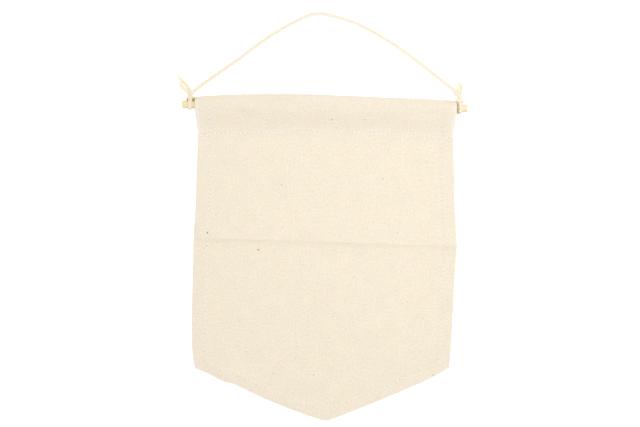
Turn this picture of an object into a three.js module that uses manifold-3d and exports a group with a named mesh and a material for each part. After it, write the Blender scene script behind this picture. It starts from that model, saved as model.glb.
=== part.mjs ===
// A blank canvas pennant banner: one hemmed cloth panel with a rod pocket at its top and a
// point at its foot, a wooden dowel through the pocket, and a cotton cord tied to the dowel's ends.
// It lies face up on a level surface, z = 0. Units are millimetres, +Z is up, +Y is the banner's top.
import * as THREE from "three";
import { mergeVertices } from "three/addons/utils/BufferGeometryUtils.js";
import Module from "manifold-3d";

const wasm = await Module();
wasm.setup();

// Driving dimensions
const clearance = 0.3;
const dowel = { diameter: 6, length: 227.6, y: 120.7, endRound: 0.4, sides: 32 };
const cord = { diameter: 2.4, lay: 12.9, strands: 3, groove: 0.16, stepsPerLay: 8, sides: 12 };
const tie = { width: 2.6, thickness: 1.5, sides: 8, steps: 26 };
const cloth = { thickness: 1.2, hemThickness: 1.9, sideHem: 10.4, pointHem: 8.6, hemEase: 1.2 };
const pocket = { foldRadius: 0.9, seamEase: 3.2 };
const crease = { height: 1.9, above: 34, below: 15 };

// The dowel lies on the cord that is looped round its ends.
const dowelRadius = dowel.diameter / 2;
const loopRadius = dowelRadius + clearance + tie.thickness / 2;
const dowelZ = loopRadius + tie.thickness / 2 + 0.1;

// Side edges of the cloth at heights along it
const sideEdges = [
  { y: 128.0, left: -103.7, right: 105.6 },
  { y: 116.0, left: -103.6, right: 105.3 },
  { y: 105.0, left: -102.0, right: 103.6 },
  { y: 95.0, left: -101.0, right: 103.1 },
  { y: 72.0, left: -101.6, right: 104.2 },
  { y: 40.0, left: -102.2, right: 105.4 },
  { y: 11.0, left: -103.5, right: 107.2 },
  { y: -6.0, left: -103.5, right: 106.3 },
  { y: -40.0, left: -103.9, right: 105.0 },
  { y: -72.0, left: -103.4, right: 103.7 },
  { y: -84.0, left: -102.1, right: 102.8 },
  { y: -90.5, left: -100.4, right: 102.3 },
];

// Lower edge, from the left corner to the point and up to the right corner
const pointEdge = [
  { x: -100.4, y: -90.5 },
  { x: -90.0, y: -94.3 },
  { x: -78.0, y: -100.2 },
  { x: -70.0, y: -102.1 },
  { x: -60.0, y: -106.8 },
  { x: -41.5, y: -115.0 },
  { x: -20.0, y: -123.2 },
  { x: 1.5, y: -130.2 },
  { x: 4.3, y: -130.5 },
  { x: 7.1, y: -130.1 },
  { x: 30.6, y: -120.8 },
  { x: 59.2, y: -108.6 },
  { x: 90.0, y: -94.4 },
  { x: 102.3, y: -86.8 },
];

// Top fold and the sewn line under the pocket, across the cloth
const pocketLines = [
  { x: -103.7, fold: 126.8, seam: 96.5 },
  { x: -84.0, fold: 128.7, seam: 97.5 },
  { x: -58.0, fold: 129.9, seam: 98.6 },
  { x: -16.0, fold: 130.5, seam: 99.6 },
  { x: 14.0, fold: 129.8, seam: 99.7 },
  { x: 53.0, fold: 128.6, seam: 98.7 },
  { x: 84.0, fold: 127.9, seam: 97.6 },
  { x: 105.6, fold: 126.6, seam: 96.9 },
];

// The old packing crease: where it runs and how sharply it stands
const creaseLine = [
  { x: -103.6, y: 13.7, share: 0.9 },
  { x: -66.0, y: 13.0, share: 1.0 },
  { x: -26.0, y: 12.4, share: 0.95 },
  { x: 14.0, y: 11.4, share: 1.0 },
  { x: 46.0, y: 10.6, share: 0.8 },
  { x: 78.0, y: 10.5, share: 0.6 },
  { x: 107.2, y: 10.3, share: 1.0 },
];

// Places where the cloth stands off the surface: centre, height, and reach across and along
const ripples = [
  { x: -74, y: -96, height: 2.2, across: 20, along: 24 },
  { x: 104, y: 8, height: 1.1, across: 26, along: 30 },
  { x: -101, y: 70, height: 1.0, across: 18, along: 34 },
  { x: 101, y: 78, height: 0.9, across: 16, along: 30 },
  { x: 12, y: -78, height: 0.7, across: 46, along: 16 },
];

// Rows of the panel: how far up from the lower edge to the crease, and from the crease to the seam
const hemRows = [0, cloth.pointHem - cloth.hemEase, cloth.pointHem + cloth.hemEase];
const lowerShares = [0.08, 0.2, 0.34, 0.48, 0.62, 0.74];
const creaseRows = [-15, -9, -5, -2, 0, 2.5, 8, 20, 34];
const upperShares = [0.22, 0.46, 0.7, 0.9];
const seamRow = -pocket.seamEase;

// Columns of the cloth as shares of its width, with a column on each side of both hems
const hemColumns = [0, 0.0445, 0.056];
const innerColumns = [0.1, 0.15, 0.205, 0.26, 0.315, 0.37, 0.425, 0.475, 0.5165];

// Hand-set route of the cord from the left knot, over the top of its arch, to the right knot
const cordHeight = cord.diameter / 2 + 0.05;
const cordRoute = [
  [-105.0, 132.0, 4.3],
  [-101.2, 134.8, 3.2],
  [-96.4, 138.2, 2.0],
  [-87.0, 144.8, cordHeight],
  [-77.4, 151.6, cordHeight],
  [-67.9, 158.5, cordHeight],
  [-58.4, 165.9, cordHeight],
  [-49.0, 173.0, cordHeight],
  [-39.4, 179.4, cordHeight],
  [-29.9, 185.2, cordHeight],
  [-20.4, 190.3, cordHeight],
  [-13.2, 193.4, cordHeight],
  [-6.1, 194.8, cordHeight],
  [1.2, 194.2, cordHeight],
  [13.2, 191.1, cordHeight],
  [22.8, 187.9, cordHeight],
  [32.5, 183.6, cordHeight],
  [42.2, 178.5, cordHeight],
  [51.9, 172.7, cordHeight],
  [61.6, 166.3, cordHeight],
  [71.3, 159.4, cordHeight],
  [81.0, 152.2, cordHeight],
  [90.7, 144.7, 1.5],
  [98.0, 139.0, 2.6],
  [102.4, 135.6, 3.6],
  [105.2, 132.4, 4.3],
];

// Each knot: where its loop crosses the dowel, where the knot sits, and the unlaid ends of the cord
const knots = [
  {
    name: "knot_left",
    loopX: -107.4,
    centre: [-107.0, 127.7, 5.2],
    turn: 0.22,
    cordEnd: 0,
    plies: [
      [[-107.0, 129.4, 5.0], [-110.0, 134.6, 3.4], [-112.9, 139.1, 1.8], [-116.4, 143.8, 0.9]],
      [[-107.6, 129.2, 4.4], [-110.9, 133.6, 2.4], [-113.4, 137.9, 1.3], [-114.8, 141.2, 0.9]],
      [[-107.6, 128.6, 5.0], [-112.0, 131.4, 3.2], [-114.9, 134.8, 1.6], [-114.6, 139.4, 0.9]],
    ],
  },
  {
    name: "knot_right",
    loopX: 108.9,
    centre: [108.3, 126.9, 5.2],
    turn: -0.3,
    cordEnd: cordRoute.length - 1,
    plies: [
      [[107.8, 128.6, 5.2], [107.2, 133.6, 3.4], [107.2, 137.6, 1.7], [108.0, 141.2, 0.9]],
      [[108.7, 128.6, 5.0], [109.6, 133.8, 3.2], [109.7, 137.4, 1.6], [108.9, 140.4, 0.9]],
      [[108.3, 128.4, 4.2], [108.4, 133.4, 2.2], [108.5, 137.0, 1.1], [108.4, 139.6, 0.9]],
    ],
  },
];
const ply = { rootRadius: 0.85, tipRadius: 0.4, sides: 4, steps: 10 };
const collar = { across: 1.9, through: 1.7, radius: 1.05, steps: 20 };
const core = { radius: 1.2, below: 1.6, steps: 8 };

// Materials
const canvas = new THREE.MeshStandardMaterial({ color: 0xf3e6cb, roughness: 0.95, metalness: 0 });
const wood = new THREE.MeshStandardMaterial({ color: 0xeccf94, roughness: 0.6, metalness: 0 });
const cotton = new THREE.MeshStandardMaterial({ color: 0xf6ead0, roughness: 0.95, metalness: 0 });

// Small helpers
const mix = THREE.MathUtils.lerp;
const ease = THREE.MathUtils.smoothstep;
const vector = (point) => new THREE.Vector3(...point);
const smoothCurve = (points) => new THREE.CatmullRomCurve3(points.map(vector), false, "centripetal");

// A smooth function through a table's rows: value column against key column, level past both ends.
function through(table, key, value) {
  const rows = [...table].sort((a, b) => a[key] - b[key]);
  const slope = (i) => {
    const low = rows[Math.max(i - 1, 0)];
    const high = rows[Math.min(i + 1, rows.length - 1)];
    return (high[value] - low[value]) / (high[key] - low[key]);
  };
  return (at) => {
    const spot = THREE.MathUtils.clamp(at, rows[0][key], rows.at(-1)[key]);
    const next = Math.max(1, rows.findIndex((row) => row[key] >= spot));
    const [low, high] = [rows[next - 1], rows[next]];
    const span = high[key] - low[key];
    const t = (spot - low[key]) / span;
    const lean = t * (1 - t) * span * (slope(next - 1) * (1 - t) - slope(next) * t);
    return mix(low[value], high[value], ease(t, 0, 1)) + lean;
  };
}

const leftEdge = through(sideEdges, "y", "left");
const rightEdge = through(sideEdges, "y", "right");
const lowerEdge = through(pointEdge, "x", "y");
const foldLine = through(pocketLines, "x", "fold");
const seamLine = through(pocketLines, "x", "seam");
const creaseHeight = through(creaseLine, "x", "y");
const creaseShare = through(creaseLine, "x", "share");

const acrossAt = (share, y) => mix(leftEdge(y), rightEdge(y), share);

// How far the underside of the cloth stands off the surface
function lift(x, y) {
  const up = y - creaseHeight(x);
  const fall = up > 0 ? 1 - ease(up, 0, crease.above) : (1 - ease(-up, 0, crease.below)) ** 2;
  const swell = ripples.reduce((sum, r) => {
    const far = Math.hypot((x - r.x) / r.across, (y - r.y) / r.along);
    return sum + (far < 1 ? r.height * (1 - far * far) ** 2 : 0);
  }, 0);
  return crease.height * creaseShare(x) * fall + swell;
}

// Thickness of the panel, with the turned hems at its sides and its pointed foot
function thickness(x, y, upFromEdge) {
  const fromSide = Math.min(x - leftEdge(y), rightEdge(y) - x);
  const inside = (distance, hem) => ease(distance, hem - cloth.hemEase, hem + cloth.hemEase);
  const plain = Math.min(inside(fromSide, cloth.sideHem), inside(upFromEdge, cloth.pointHem));
  return mix(cloth.hemThickness, cloth.thickness, plain);
}

// Heights of the panel's rows at one column, from the lower edge to just under the seam
function panelRows(share) {
  const edge = lowerEdge(acrossAt(share, sideEdges.at(-1).y));
  const fold = creaseHeight(acrossAt(share, 0));
  const seam = seamLine(acrossAt(share, pocketLines[0].seam));
  const hemTop = edge + hemRows.at(-1);
  const creaseFoot = fold + creaseRows[0];
  const creaseTop = fold + creaseRows.at(-1);
  const heights = [
    ...hemRows.map((up) => edge + up),
    ...lowerShares.map((part) => mix(hemTop, creaseFoot, part / lowerShares.at(-1) * 0.9)),
    ...creaseRows.map((up) => fold + up),
    ...upperShares.map((part) => mix(creaseTop, seam + seamRow, part)),
    seam + seamRow,
  ];
  return { heights, edge, seam };
}

// Middle line of the pocket's cloth at one column: up over the dowel, round the fold, and back
function pocketLine(share, seam) {
  const foldAt = foldLine(acrossAt(share, dowel.y));
  const half = cloth.thickness / 2;
  const reach = dowel.y - seam;
  const crown = dowelZ + dowelRadius + clearance + half;
  const foldY = foldAt - half - pocket.foldRadius;
  const foldZ = half + pocket.foldRadius;
  const shoulder = dowelRadius + clearance + half;
  const front = new THREE.SplineCurve([
    new THREE.Vector2(seam, 3 * half),
    new THREE.Vector2(seam + 0.22 * reach, 3.4 * half),
    new THREE.Vector2(seam + 0.42 * reach, mix(3 * half, crown, 0.34)),
    new THREE.Vector2(seam + 0.64 * reach, mix(3 * half, crown, 0.7)),
    new THREE.Vector2(dowel.y - 3.2, crown - 0.55),
    new THREE.Vector2(dowel.y, crown),
    new THREE.Vector2(dowel.y + 0.72 * shoulder, dowelZ + 0.76 * shoulder),
    new THREE.Vector2(dowel.y + 0.62 * (foldAt - dowel.y) + 0.6, dowelZ + 0.5),
    new THREE.Vector2(foldY, foldZ + pocket.foldRadius),
  ]).getPoints(16);
  const fold = [0.25, 0.5, 0.75].map((part) => {
    const angle = Math.PI * (0.5 - part);
    const y = foldY + pocket.foldRadius * Math.cos(angle);
    return new THREE.Vector2(y, foldZ + pocket.foldRadius * Math.sin(angle));
  });
  const back = [0, 0.3, 0.62, 1].map((part) => new THREE.Vector2(mix(foldY, seam, part), half));
  return [...front, ...fold, ...back];
}

// One column of the cloth: its outer outline, front then pocket then back, and the pocket's inside
function clothColumn(share) {
  const { heights, edge, seam } = panelRows(share);
  const place = (y, z) => new THREE.Vector3(acrossAt(share, y), y, z);
  const front = [];
  const back = [];
  for (const y of heights) {
    const low = lift(acrossAt(share, y), y);
    front.push(place(y, low + thickness(acrossAt(share, y), y, y - edge)));
    back.push(place(y, low));
  }
  const middle = pocketLine(share, seam);
  const outside = [];
  const inside = [];
  middle.forEach((spot, i) => {
    const last = middle.length - 1;
    const along = middle[Math.min(i + 1, last)].clone().sub(middle[Math.max(i - 1, 0)]);
    if (i === 0 || i === last) along.set(i === 0 ? 1 : -1, 0);
    const normal = new THREE.Vector2(-along.y, along.x).setLength(cloth.thickness / 2);
    outside.push(place(spot.x + normal.x, spot.y + normal.y));
    inside.push(place(spot.x - normal.x, spot.y - normal.y));
  });
  inside.pop();
  return { outside: [...front, ...outside, ...back.reverse()], inside, panelCount: front.length };
}

// The cloth as one closed solid: columns joined side by side, with both side edges closed
function clothGeometry() {
  const mirrored = (columns) => columns.map((share) => 1 - share).reverse();
  const right = innerColumns.slice(0, -2);
  const shares = [...hemColumns, ...innerColumns, ...mirrored(right), ...mirrored(hemColumns)];
  const columns = shares.map(clothColumn);
  const { outside, inside, panelCount } = columns[0];
  const ring = outside.length + inside.length;
  const points = columns.flatMap((column) => [...column.outside, ...column.inside]);
  const faces = [];
  const quad = (a, b, c, d) => faces.push(a, b, c, a, c, d);
  for (let column = 0; column < columns.length - 1; column++) {
    const here = column * ring;
    for (let i = 0; i < outside.length; i++) {
      const next = (i + 1) % outside.length;
      quad(here + i, here + ring + i, here + ring + next, here + next);
    }
    for (let i = 0; i < inside.length; i++) {
      const next = (i + 1) % inside.length;
      const [low, high] = [here + outside.length + i, here + outside.length + next];
      quad(low, high, high + ring, low + ring);
    }
  }
  const pocketCount = outside.length - 2 * panelCount;
  for (const [start, flip] of [[0, false], [(columns.length - 1) * ring, true]]) {
    const side = (...corners) => {
      const order = flip ? corners.reverse() : corners;
      order.slice(2).forEach((_, i) => faces.push(order[0], order[i + 1], order[i + 2]));
    };
    const frontAt = (i) => start + i;
    const backAt = (i) => start + outside.length - 1 - i;
    for (let i = 0; i < panelCount; i++) {
      side(frontAt(i), frontAt(i + 1), backAt(i + 1), backAt(i));
    }
    const inAt = (i) => start + outside.length + (i % inside.length);
    for (let i = 0; i < pocketCount - 1; i++) {
      const out = start + panelCount + i;
      side(out, out + 1, inAt(i + 1), inAt(i));
    }
    side(frontAt(panelCount), inAt(0), backAt(panelCount));
  }
  const geometry = new THREE.BufferGeometry().setFromPoints(points);
  geometry.setIndex(faces);
  return geometry;
}

// A closed tube along a curve. outline(t, angle) gives the distances along the frame's two directions.
function tube(curve, steps, sides, outline) {
  const frames = curve.computeFrenetFrames(steps, false);
  const points = [];
  const faces = [];
  for (let step = 0; step <= steps; step++) {
    const t = step / steps;
    const middle = curve.getPointAt(t);
    for (let side = 0; side < sides; side++) {
      const [across, over] = outline(t, (2 * Math.PI * side) / sides);
      const spot = middle.clone().addScaledVector(frames.normals[step], across);
      points.push(spot.addScaledVector(frames.binormals[step], over));
    }
  }
  const end = points.length;
  points.push(curve.getPointAt(0), curve.getPointAt(1));
  for (let side = 0; side < sides; side++) {
    const next = (side + 1) % sides;
    for (let step = 0; step < steps; step++) {
      const [low, high] = [step * sides, (step + 1) * sides];
      faces.push(low + side, low + next, high + next, low + side, high + next, high + side);
    }
    const last = steps * sides;
    faces.push(end, next, side, end + 1, last + side, last + next);
  }
  const geometry = new THREE.BufferGeometry().setFromPoints(points);
  geometry.setIndex(faces);
  return geometry;
}

const oval = (across, over) => (t, angle) => [across * Math.cos(angle), over * Math.sin(angle)];

// Solids for joining
function solidOf(geometry) {
  const bare = new THREE.BufferGeometry().setAttribute("position", geometry.getAttribute("position"));
  bare.setIndex(geometry.index);
  const merged = mergeVertices(bare, 1e-4);
  const vertProperties = merged.getAttribute("position").array;
  const triVerts = new Uint32Array(merged.index.array);
  return new wasm.Manifold(new wasm.Mesh({ numProp: 3, vertProperties, triVerts }));
}

function joined(geometries) {
  const mesh = geometries.map(solidOf).reduce((whole, piece) => whole.add(piece)).getMesh();
  const geometry = new THREE.BufferGeometry();
  geometry.setAttribute("position", new THREE.BufferAttribute(mesh.vertProperties, 3));
  return geometry.setIndex(new THREE.BufferAttribute(mesh.triVerts, 1));
}

// The dowel, its ends a little rounded, turned to lie along X
function dowelGeometry() {
  const half = dowel.length / 2;
  const profile = [
    new THREE.Vector2(0, -half),
    new THREE.Vector2(dowelRadius - dowel.endRound, -half),
    new THREE.Vector2(dowelRadius, -half + dowel.endRound),
    new THREE.Vector2(dowelRadius, half - dowel.endRound),
    new THREE.Vector2(dowelRadius - dowel.endRound, half),
    new THREE.Vector2(0, half),
  ];
  return new THREE.LatheGeometry(profile, dowel.sides).rotateZ(Math.PI / 2);
}

// The cord's arch: strands laid round each other, so its outline is lobed and turns along the way
function cordGeometry() {
  const curve = smoothCurve(cordRoute);
  const turns = curve.getLength() / cord.lay;
  const steps = Math.round(turns * cord.stepsPerLay);
  const outline = (t, angle) => {
    const dip = Math.abs(Math.sin((cord.strands / 2) * (angle - 2 * Math.PI * turns * t)));
    const radius = (cord.diameter / 2) * (1 - cord.groove * (1 - dip));
    return [radius * Math.cos(angle), radius * Math.sin(angle)];
  };
  return tube(curve, steps, cord.sides, outline);
}

// A tied end: a loop round the dowel, a collar drawn tight above it, and the cord's unlaid plies
function knotGeometry({ loopX, centre, turn, cordEnd, plies }) {
  const [x, y, z] = centre;
  const around = [];
  for (let angle = 55; angle <= 305; angle += 25) {
    const bend = THREE.MathUtils.degToRad(angle);
    const out = loopRadius * Math.cos(bend);
    around.push([loopX, dowel.y + out, dowelZ + loopRadius * Math.sin(bend)]);
  }
  const loop = smoothCurve([[x, y, z + 0.9], ...around, [x, y, z - 0.9]]);
  const ring = [];
  for (let step = 0; step <= collar.steps + 1; step++) {
    const bend = (2 * Math.PI * step) / collar.steps - Math.PI / 2;
    const across = collar.across * Math.cos(bend);
    ring.push([x + across, y + turn * across + 0.5 * Math.sin(bend), z + collar.through * Math.sin(bend)]);
  }
  const start = vector(cordRoute[cordEnd]);
  const away = start.clone().sub(vector(cordRoute[cordEnd === 0 ? 1 : cordEnd - 1])).normalize();
  const beforeCord = (gap) => start.clone().addScaledVector(away, gap).toArray();
  const stem = smoothCurve([[x, y - core.below, z], beforeCord(1.6), beforeCord(clearance + 0.1)]);
  const taper = (t) => mix(ply.rootRadius, ply.tipRadius, t * t);
  const round = (t, angle) => [taper(t) * Math.cos(angle), taper(t) * Math.sin(angle)];
  return joined([
    tube(stem, core.steps, tie.sides, oval(core.radius, core.radius)),
    tube(loop, tie.steps, tie.sides, oval(tie.width / 2, tie.thickness / 2)),
    tube(smoothCurve(ring), collar.steps, tie.sides, oval(collar.radius, collar.radius)),
    ...plies.map((route) => tube(smoothCurve(route), ply.steps, ply.sides, round)),
  ]);
}

// The banner
const banner = new THREE.Group();
banner.name = "pennant_banner";

function piece(name, geometry, material) {
  const mesh = new THREE.Mesh(geometry, material);
  mesh.name = name;
  banner.add(mesh);
  return mesh;
}

piece("banner_cloth", clothGeometry(), canvas);
piece("dowel", dowelGeometry(), wood).position.set(0, dowel.y, dowelZ);
piece("hanging_cord", cordGeometry(), cotton);
for (const knot of knots) {
  piece(knot.name, knotGeometry(knot), cotton);
}

export default banner;
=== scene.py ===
import bmesh
import bpy
import math
import random
import numpy as np
from mathutils import Matrix, Vector
from mathutils.bvhtree import BVHTree


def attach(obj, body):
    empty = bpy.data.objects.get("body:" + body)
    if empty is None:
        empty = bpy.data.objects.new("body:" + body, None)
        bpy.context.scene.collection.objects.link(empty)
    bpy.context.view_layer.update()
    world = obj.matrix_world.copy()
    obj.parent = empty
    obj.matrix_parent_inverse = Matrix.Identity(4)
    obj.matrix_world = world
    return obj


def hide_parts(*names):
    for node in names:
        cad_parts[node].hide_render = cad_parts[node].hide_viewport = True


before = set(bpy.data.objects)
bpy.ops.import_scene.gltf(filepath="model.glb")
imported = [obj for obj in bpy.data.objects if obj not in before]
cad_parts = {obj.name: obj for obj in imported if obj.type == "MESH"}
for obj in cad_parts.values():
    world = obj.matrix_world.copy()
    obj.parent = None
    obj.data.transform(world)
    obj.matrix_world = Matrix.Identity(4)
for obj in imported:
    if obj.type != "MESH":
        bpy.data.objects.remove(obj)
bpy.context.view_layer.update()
scene = bpy.context.scene
mm = 0.001
print("loaded", sorted(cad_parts))

# Camera straight above the banner, turned a little because the banner lies a little askew
photoView = {"x": -2.6, "y": 35.05, "height": 3000.0, "seenWidth": 512.0, "sensor": 36.0, "roll": 0.837}


def addCamera(view):
    data = bpy.data.cameras.new("photoCamera")
    data.sensor_width = view["sensor"]
    data.lens = view["sensor"] * view["height"] / view["seenWidth"]
    data.clip_end = 50.0
    camera = bpy.data.objects.new("photoCamera", data)
    camera.location = Vector((view["x"], view["y"], view["height"])) * mm
    camera.rotation_euler = (0.0, 0.0, math.radians(view["roll"]))
    scene.collection.objects.link(camera)
    scene.camera = camera


addCamera(photoView)

# Sizes that several pieces share, in millimetres
dowelRod = {"radius": 3.05, "length": 227.6, "y": 120.7, "z": 4.9, "endRound": 0.45, "sides": 72}
twistedCord = {"radius": 1.2, "strandRadius": 0.93, "strandOffset": 0.58, "lay": 12.9, "strands": 3,
               "sides": 12, "step": 0.8}


def smooth(low, high, value):
    t = np.clip((value - low) / (high - low), 0.0, 1.0)
    return t * t * (3.0 - 2.0 * t)


# Smooth curve through the rows of a table, level past both ends
def through(rows, key, value):
    ordered = sorted(rows, key=lambda row: row[key])
    at = np.array([row[key] for row in ordered], float)
    level = np.array([row[value] for row in ordered], float)
    slope = np.gradient(level, at)
    slope[1:-1] = (level[2:] - level[:-2]) / (at[2:] - at[:-2])

    def curve(spot):
        spot = np.clip(np.asarray(spot, float), at[0], at[-1])
        i = np.clip(np.searchsorted(at, spot), 1, len(at) - 1)
        span = at[i] - at[i - 1]
        t = (spot - at[i - 1]) / span
        lean = t * (1 - t) * span * (slope[i - 1] * (1 - t) - slope[i] * t)
        return level[i - 1] + (level[i] - level[i - 1]) * t * t * (3 - 2 * t) + lean

    return curve


# Distance from the first point of a line, or of many lines side by side, to each of its points
def distances(points):
    steps = np.linalg.norm(np.diff(points, axis=0), axis=-1)
    return np.concatenate([np.zeros_like(steps[:1]), np.cumsum(steps, axis=0)])


def unit(rows):
    return rows / np.linalg.norm(rows, axis=1)[:, None]


def directions(path):
    return unit(np.gradient(path, axis=0))


# A share t of the way from b to c, on a smooth line through all four
def curved(a, b, c, d, t):
    return 0.5 * (2 * b + (c - a) * t + (2 * a - 5 * b + 4 * c - d) * t ** 2
                  + (3 * b - a - 3 * c + d) * t ** 3)


# Even points along a smooth line through a few set points
def smoothPath(points, step):
    points = np.array(points, float)
    padded = np.vstack([2 * points[0] - points[1], points, 2 * points[-1] - points[-2]])
    t = np.linspace(0.0, 1.0, 24, endpoint=False)[:, None]
    runs = [curved(*four, t) for four in zip(padded[:-3], padded[1:-2], padded[2:-1], padded[3:])]
    dense = np.vstack(runs + [points[-1:]])
    far = distances(dense)
    count = max(4, int(round(far[-1] / step)) + 1)
    even = np.linspace(0.0, far[-1], count)
    return np.stack([np.interp(even, far, dense[:, axis]) for axis in range(3)], axis=1), even


# Directions across a path that don't spin along it
def framesAlong(path):
    along = directions(path)
    side = np.zeros(3)
    side[np.argmin(np.abs(along[0]))] = 1.0
    sides = np.empty_like(path)
    for i, tangent in enumerate(along):
        side = side - tangent * np.dot(side, tangent)
        side = side / np.linalg.norm(side)
        sides[i] = side
    return sides, np.cross(along, sides)


def shadeSmooth(mesh):
    mesh.polygons.foreach_set("use_smooth", [True] * len(mesh.polygons))
    mesh.update()


def addPiece(name, mesh, material):
    piece = bpy.data.objects.new(name, mesh)
    scene.collection.objects.link(piece)
    mesh.materials.append(material)
    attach(piece, "root")
    return piece


# Collects tubes for one piece, with a map that runs round and along each tube
class TubeBundle:
    def __init__(self):
        self.points, self.faces, self.maps, self.count = [], [], [], 0

    def addTube(self, path, even, radius, sides, frames=None, flat=(1.0, 1.0)):
        across, over = framesAlong(path) if frames is None else frames
        radius = np.broadcast_to(np.asarray(radius, float), (len(path),))
        angle = np.arange(sides) * 2 * math.pi / sides
        ring = (path[:, None, :]
                + across[:, None, :] * (radius[:, None] * np.cos(angle) * flat[0])[:, :, None]
                + over[:, None, :] * (radius[:, None] * np.sin(angle) * flat[1])[:, :, None])
        ring[:, :, 2] = np.maximum(ring[:, :, 2], 0.0)  # flattened where it lies on the surface
        start = self.count
        self.points.append(ring.reshape(-1, 3))
        self.count += len(path) * sides
        for i in range(len(path) - 1):
            for s in range(sides):
                n = (s + 1) % sides
                low, high = start + i * sides, start + (i + 1) * sides
                self.faces.append((low + s, low + n, high + n, high + s))
                u0, u1, v0, v1 = s / sides, (s + 1) / sides, even[i], even[i + 1]
                self.maps += [(u0, v0), (u1, v0), (u1, v1), (u0, v1)]
        last = start + (len(path) - 1) * sides
        self.faces.append(tuple(start + s for s in reversed(range(sides))))
        self.faces.append(tuple(last + s for s in range(sides)))
        self.maps += [(s / sides, even[0]) for s in reversed(range(sides))]
        self.maps += [(s / sides, even[-1]) for s in range(sides)]

    # Strands laid round each other along one path
    def addTwist(self, points, cord, flat=(1.0, 1.0), scale=1.0, turn=0.0, swell=None):
        path, even = smoothPath(points, cord["step"])
        frames = framesAlong(path)
        size = np.full(len(path), scale)
        if swell is not None:
            fromEnd = even[-1] - even
            size = size * np.interp(fromEnd, [row[0] for row in swell], [row[1] for row in swell])
        for strand in range(cord["strands"]):
            bend = 2 * math.pi * (even / cord["lay"] + strand / cord["strands"]) + turn
            offset = cord["strandOffset"] * size
            centre = (path + frames[0] * (offset * np.cos(bend) * flat[0])[:, None]
                      + frames[1] * (offset * np.sin(bend) * flat[1])[:, None])
            self.addTube(centre, even, cord["strandRadius"] * size, cord["sides"], frames, flat)
        return path

    # One loose fibre, which leaves its root along its aim and bows a little
    def addHair(self, root, aim, bow, length, radius, lowest):
        part = np.linspace(0, 1, 5)[:, None]
        line = root + aim * part * length + bow * part ** 2
        line[:, 2] = np.maximum(line[:, 2], lowest)
        self.addTube(line, part[:, 0] * length, radius, 3)

    def piece(self, name, material, slot):
        mesh = bpy.data.meshes.new(name)
        mesh.from_pydata((np.vstack(self.points) * mm).tolist(), [], self.faces)
        layer = mesh.uv_layers.new(name="alongMap")
        layer.data.foreach_set("uv", (np.array(self.maps) * (1.0, mm)).ravel())
        shadeSmooth(mesh)
        return addPiece(name, mesh, material)


# Adds nodes to one tree, where a value is a number, a colour or another node's output
class NodeSheet:
    def __init__(self, tree):
        self.tree = tree
        self.column = 0

    def fill(self, node, values):
        for key, value in values.items():
            if isinstance(value, bpy.types.NodeSocket):
                self.tree.links.new(value, node.inputs[key])
            else:
                node.inputs[key].default_value = value

    def add(self, kind, values=None, **settings):
        node = self.tree.nodes.new(kind)
        node.location = (self.column * 180, -(self.column % 5) * 160)
        self.column += 1
        for key, value in settings.items():
            setattr(node, key, value)
        self.fill(node, values or {})
        return node

    def math(self, operation, first, second=0.0, third=0.0):
        return self.add("ShaderNodeMath", {0: first, 1: second, 2: third}, operation=operation).outputs[0]

    # A noise as a swing about zero
    def swing(self, value, depth):
        return self.math("MULTIPLY", self.math("SUBTRACT", value, 0.5), depth)

    def ramp(self, value, low, high, first=0.0, last=1.0):
        node = self.add("ShaderNodeMapRange", {"Value": value, "From Min": low, "From Max": high,
                                               "To Min": first, "To Max": last},
                        interpolation_type="SMOOTHSTEP")
        return node.outputs["Result"]

    def mixColour(self, share, first, second):
        return self.add("ShaderNodeMix", {0: share, 6: first, 7: second}, data_type="RGBA").outputs[2]

    def times(self, colour, tone):
        return self.add("ShaderNodeVectorMath", {0: colour, 1: tone}, operation="MULTIPLY").outputs[0]

    def noise(self, vector, scale, detail=2.0, roughness=0.5):
        node = self.add("ShaderNodeTexNoise", {"Vector": vector, "Scale": scale, "Detail": detail,
                                               "Roughness": roughness})
        return node.outputs["Fac"]

    def stretched(self, vector, scale, offset=(0.0, 0.0, 0.0)):
        node = self.add("ShaderNodeMapping", {"Vector": vector, "Scale": scale, "Location": offset})
        return node.outputs[0]

    def attribute(self, name):
        return self.add("ShaderNodeAttribute", attribute_name=name).outputs["Fac"]

    def bump(self, height, strength):
        node = self.add("ShaderNodeBump", {"Height": height, "Strength": strength, "Distance": 0.0002})
        return node.outputs[0]

    def group(self, tree, values):
        return self.add("ShaderNodeGroup", values, node_tree=tree).outputs


# A shared group takes a place and a few numbers, and gives numbers
def newGroup(name, numbers, results):
    tree = bpy.data.node_groups.new(name, "ShaderNodeTree")
    tree.interface.new_socket("Vector", in_out="INPUT", socket_type="NodeSocketVector")
    for labels, side in ((numbers, "INPUT"), (results, "OUTPUT")):
        for label in labels:
            tree.interface.new_socket(label, in_out=side, socket_type="NodeSocketFloat")
    sheet = NodeSheet(tree)
    return tree, sheet, sheet.add("NodeGroupInput").outputs, sheet.add("NodeGroupOutput")


def newMaterial(name):
    material = bpy.data.materials.new(name)
    material.use_nodes = True
    material.node_tree.nodes.clear()
    sheet = NodeSheet(material.node_tree)
    shader = sheet.add("ShaderNodeBsdfPrincipled")
    sheet.add("ShaderNodeOutputMaterial", {0: shader.outputs[0]})
    return material, sheet, shader


def plainMaterial(name, values):
    material, sheet, shader = newMaterial(name)
    sheet.fill(shader, values)
    return material


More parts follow.
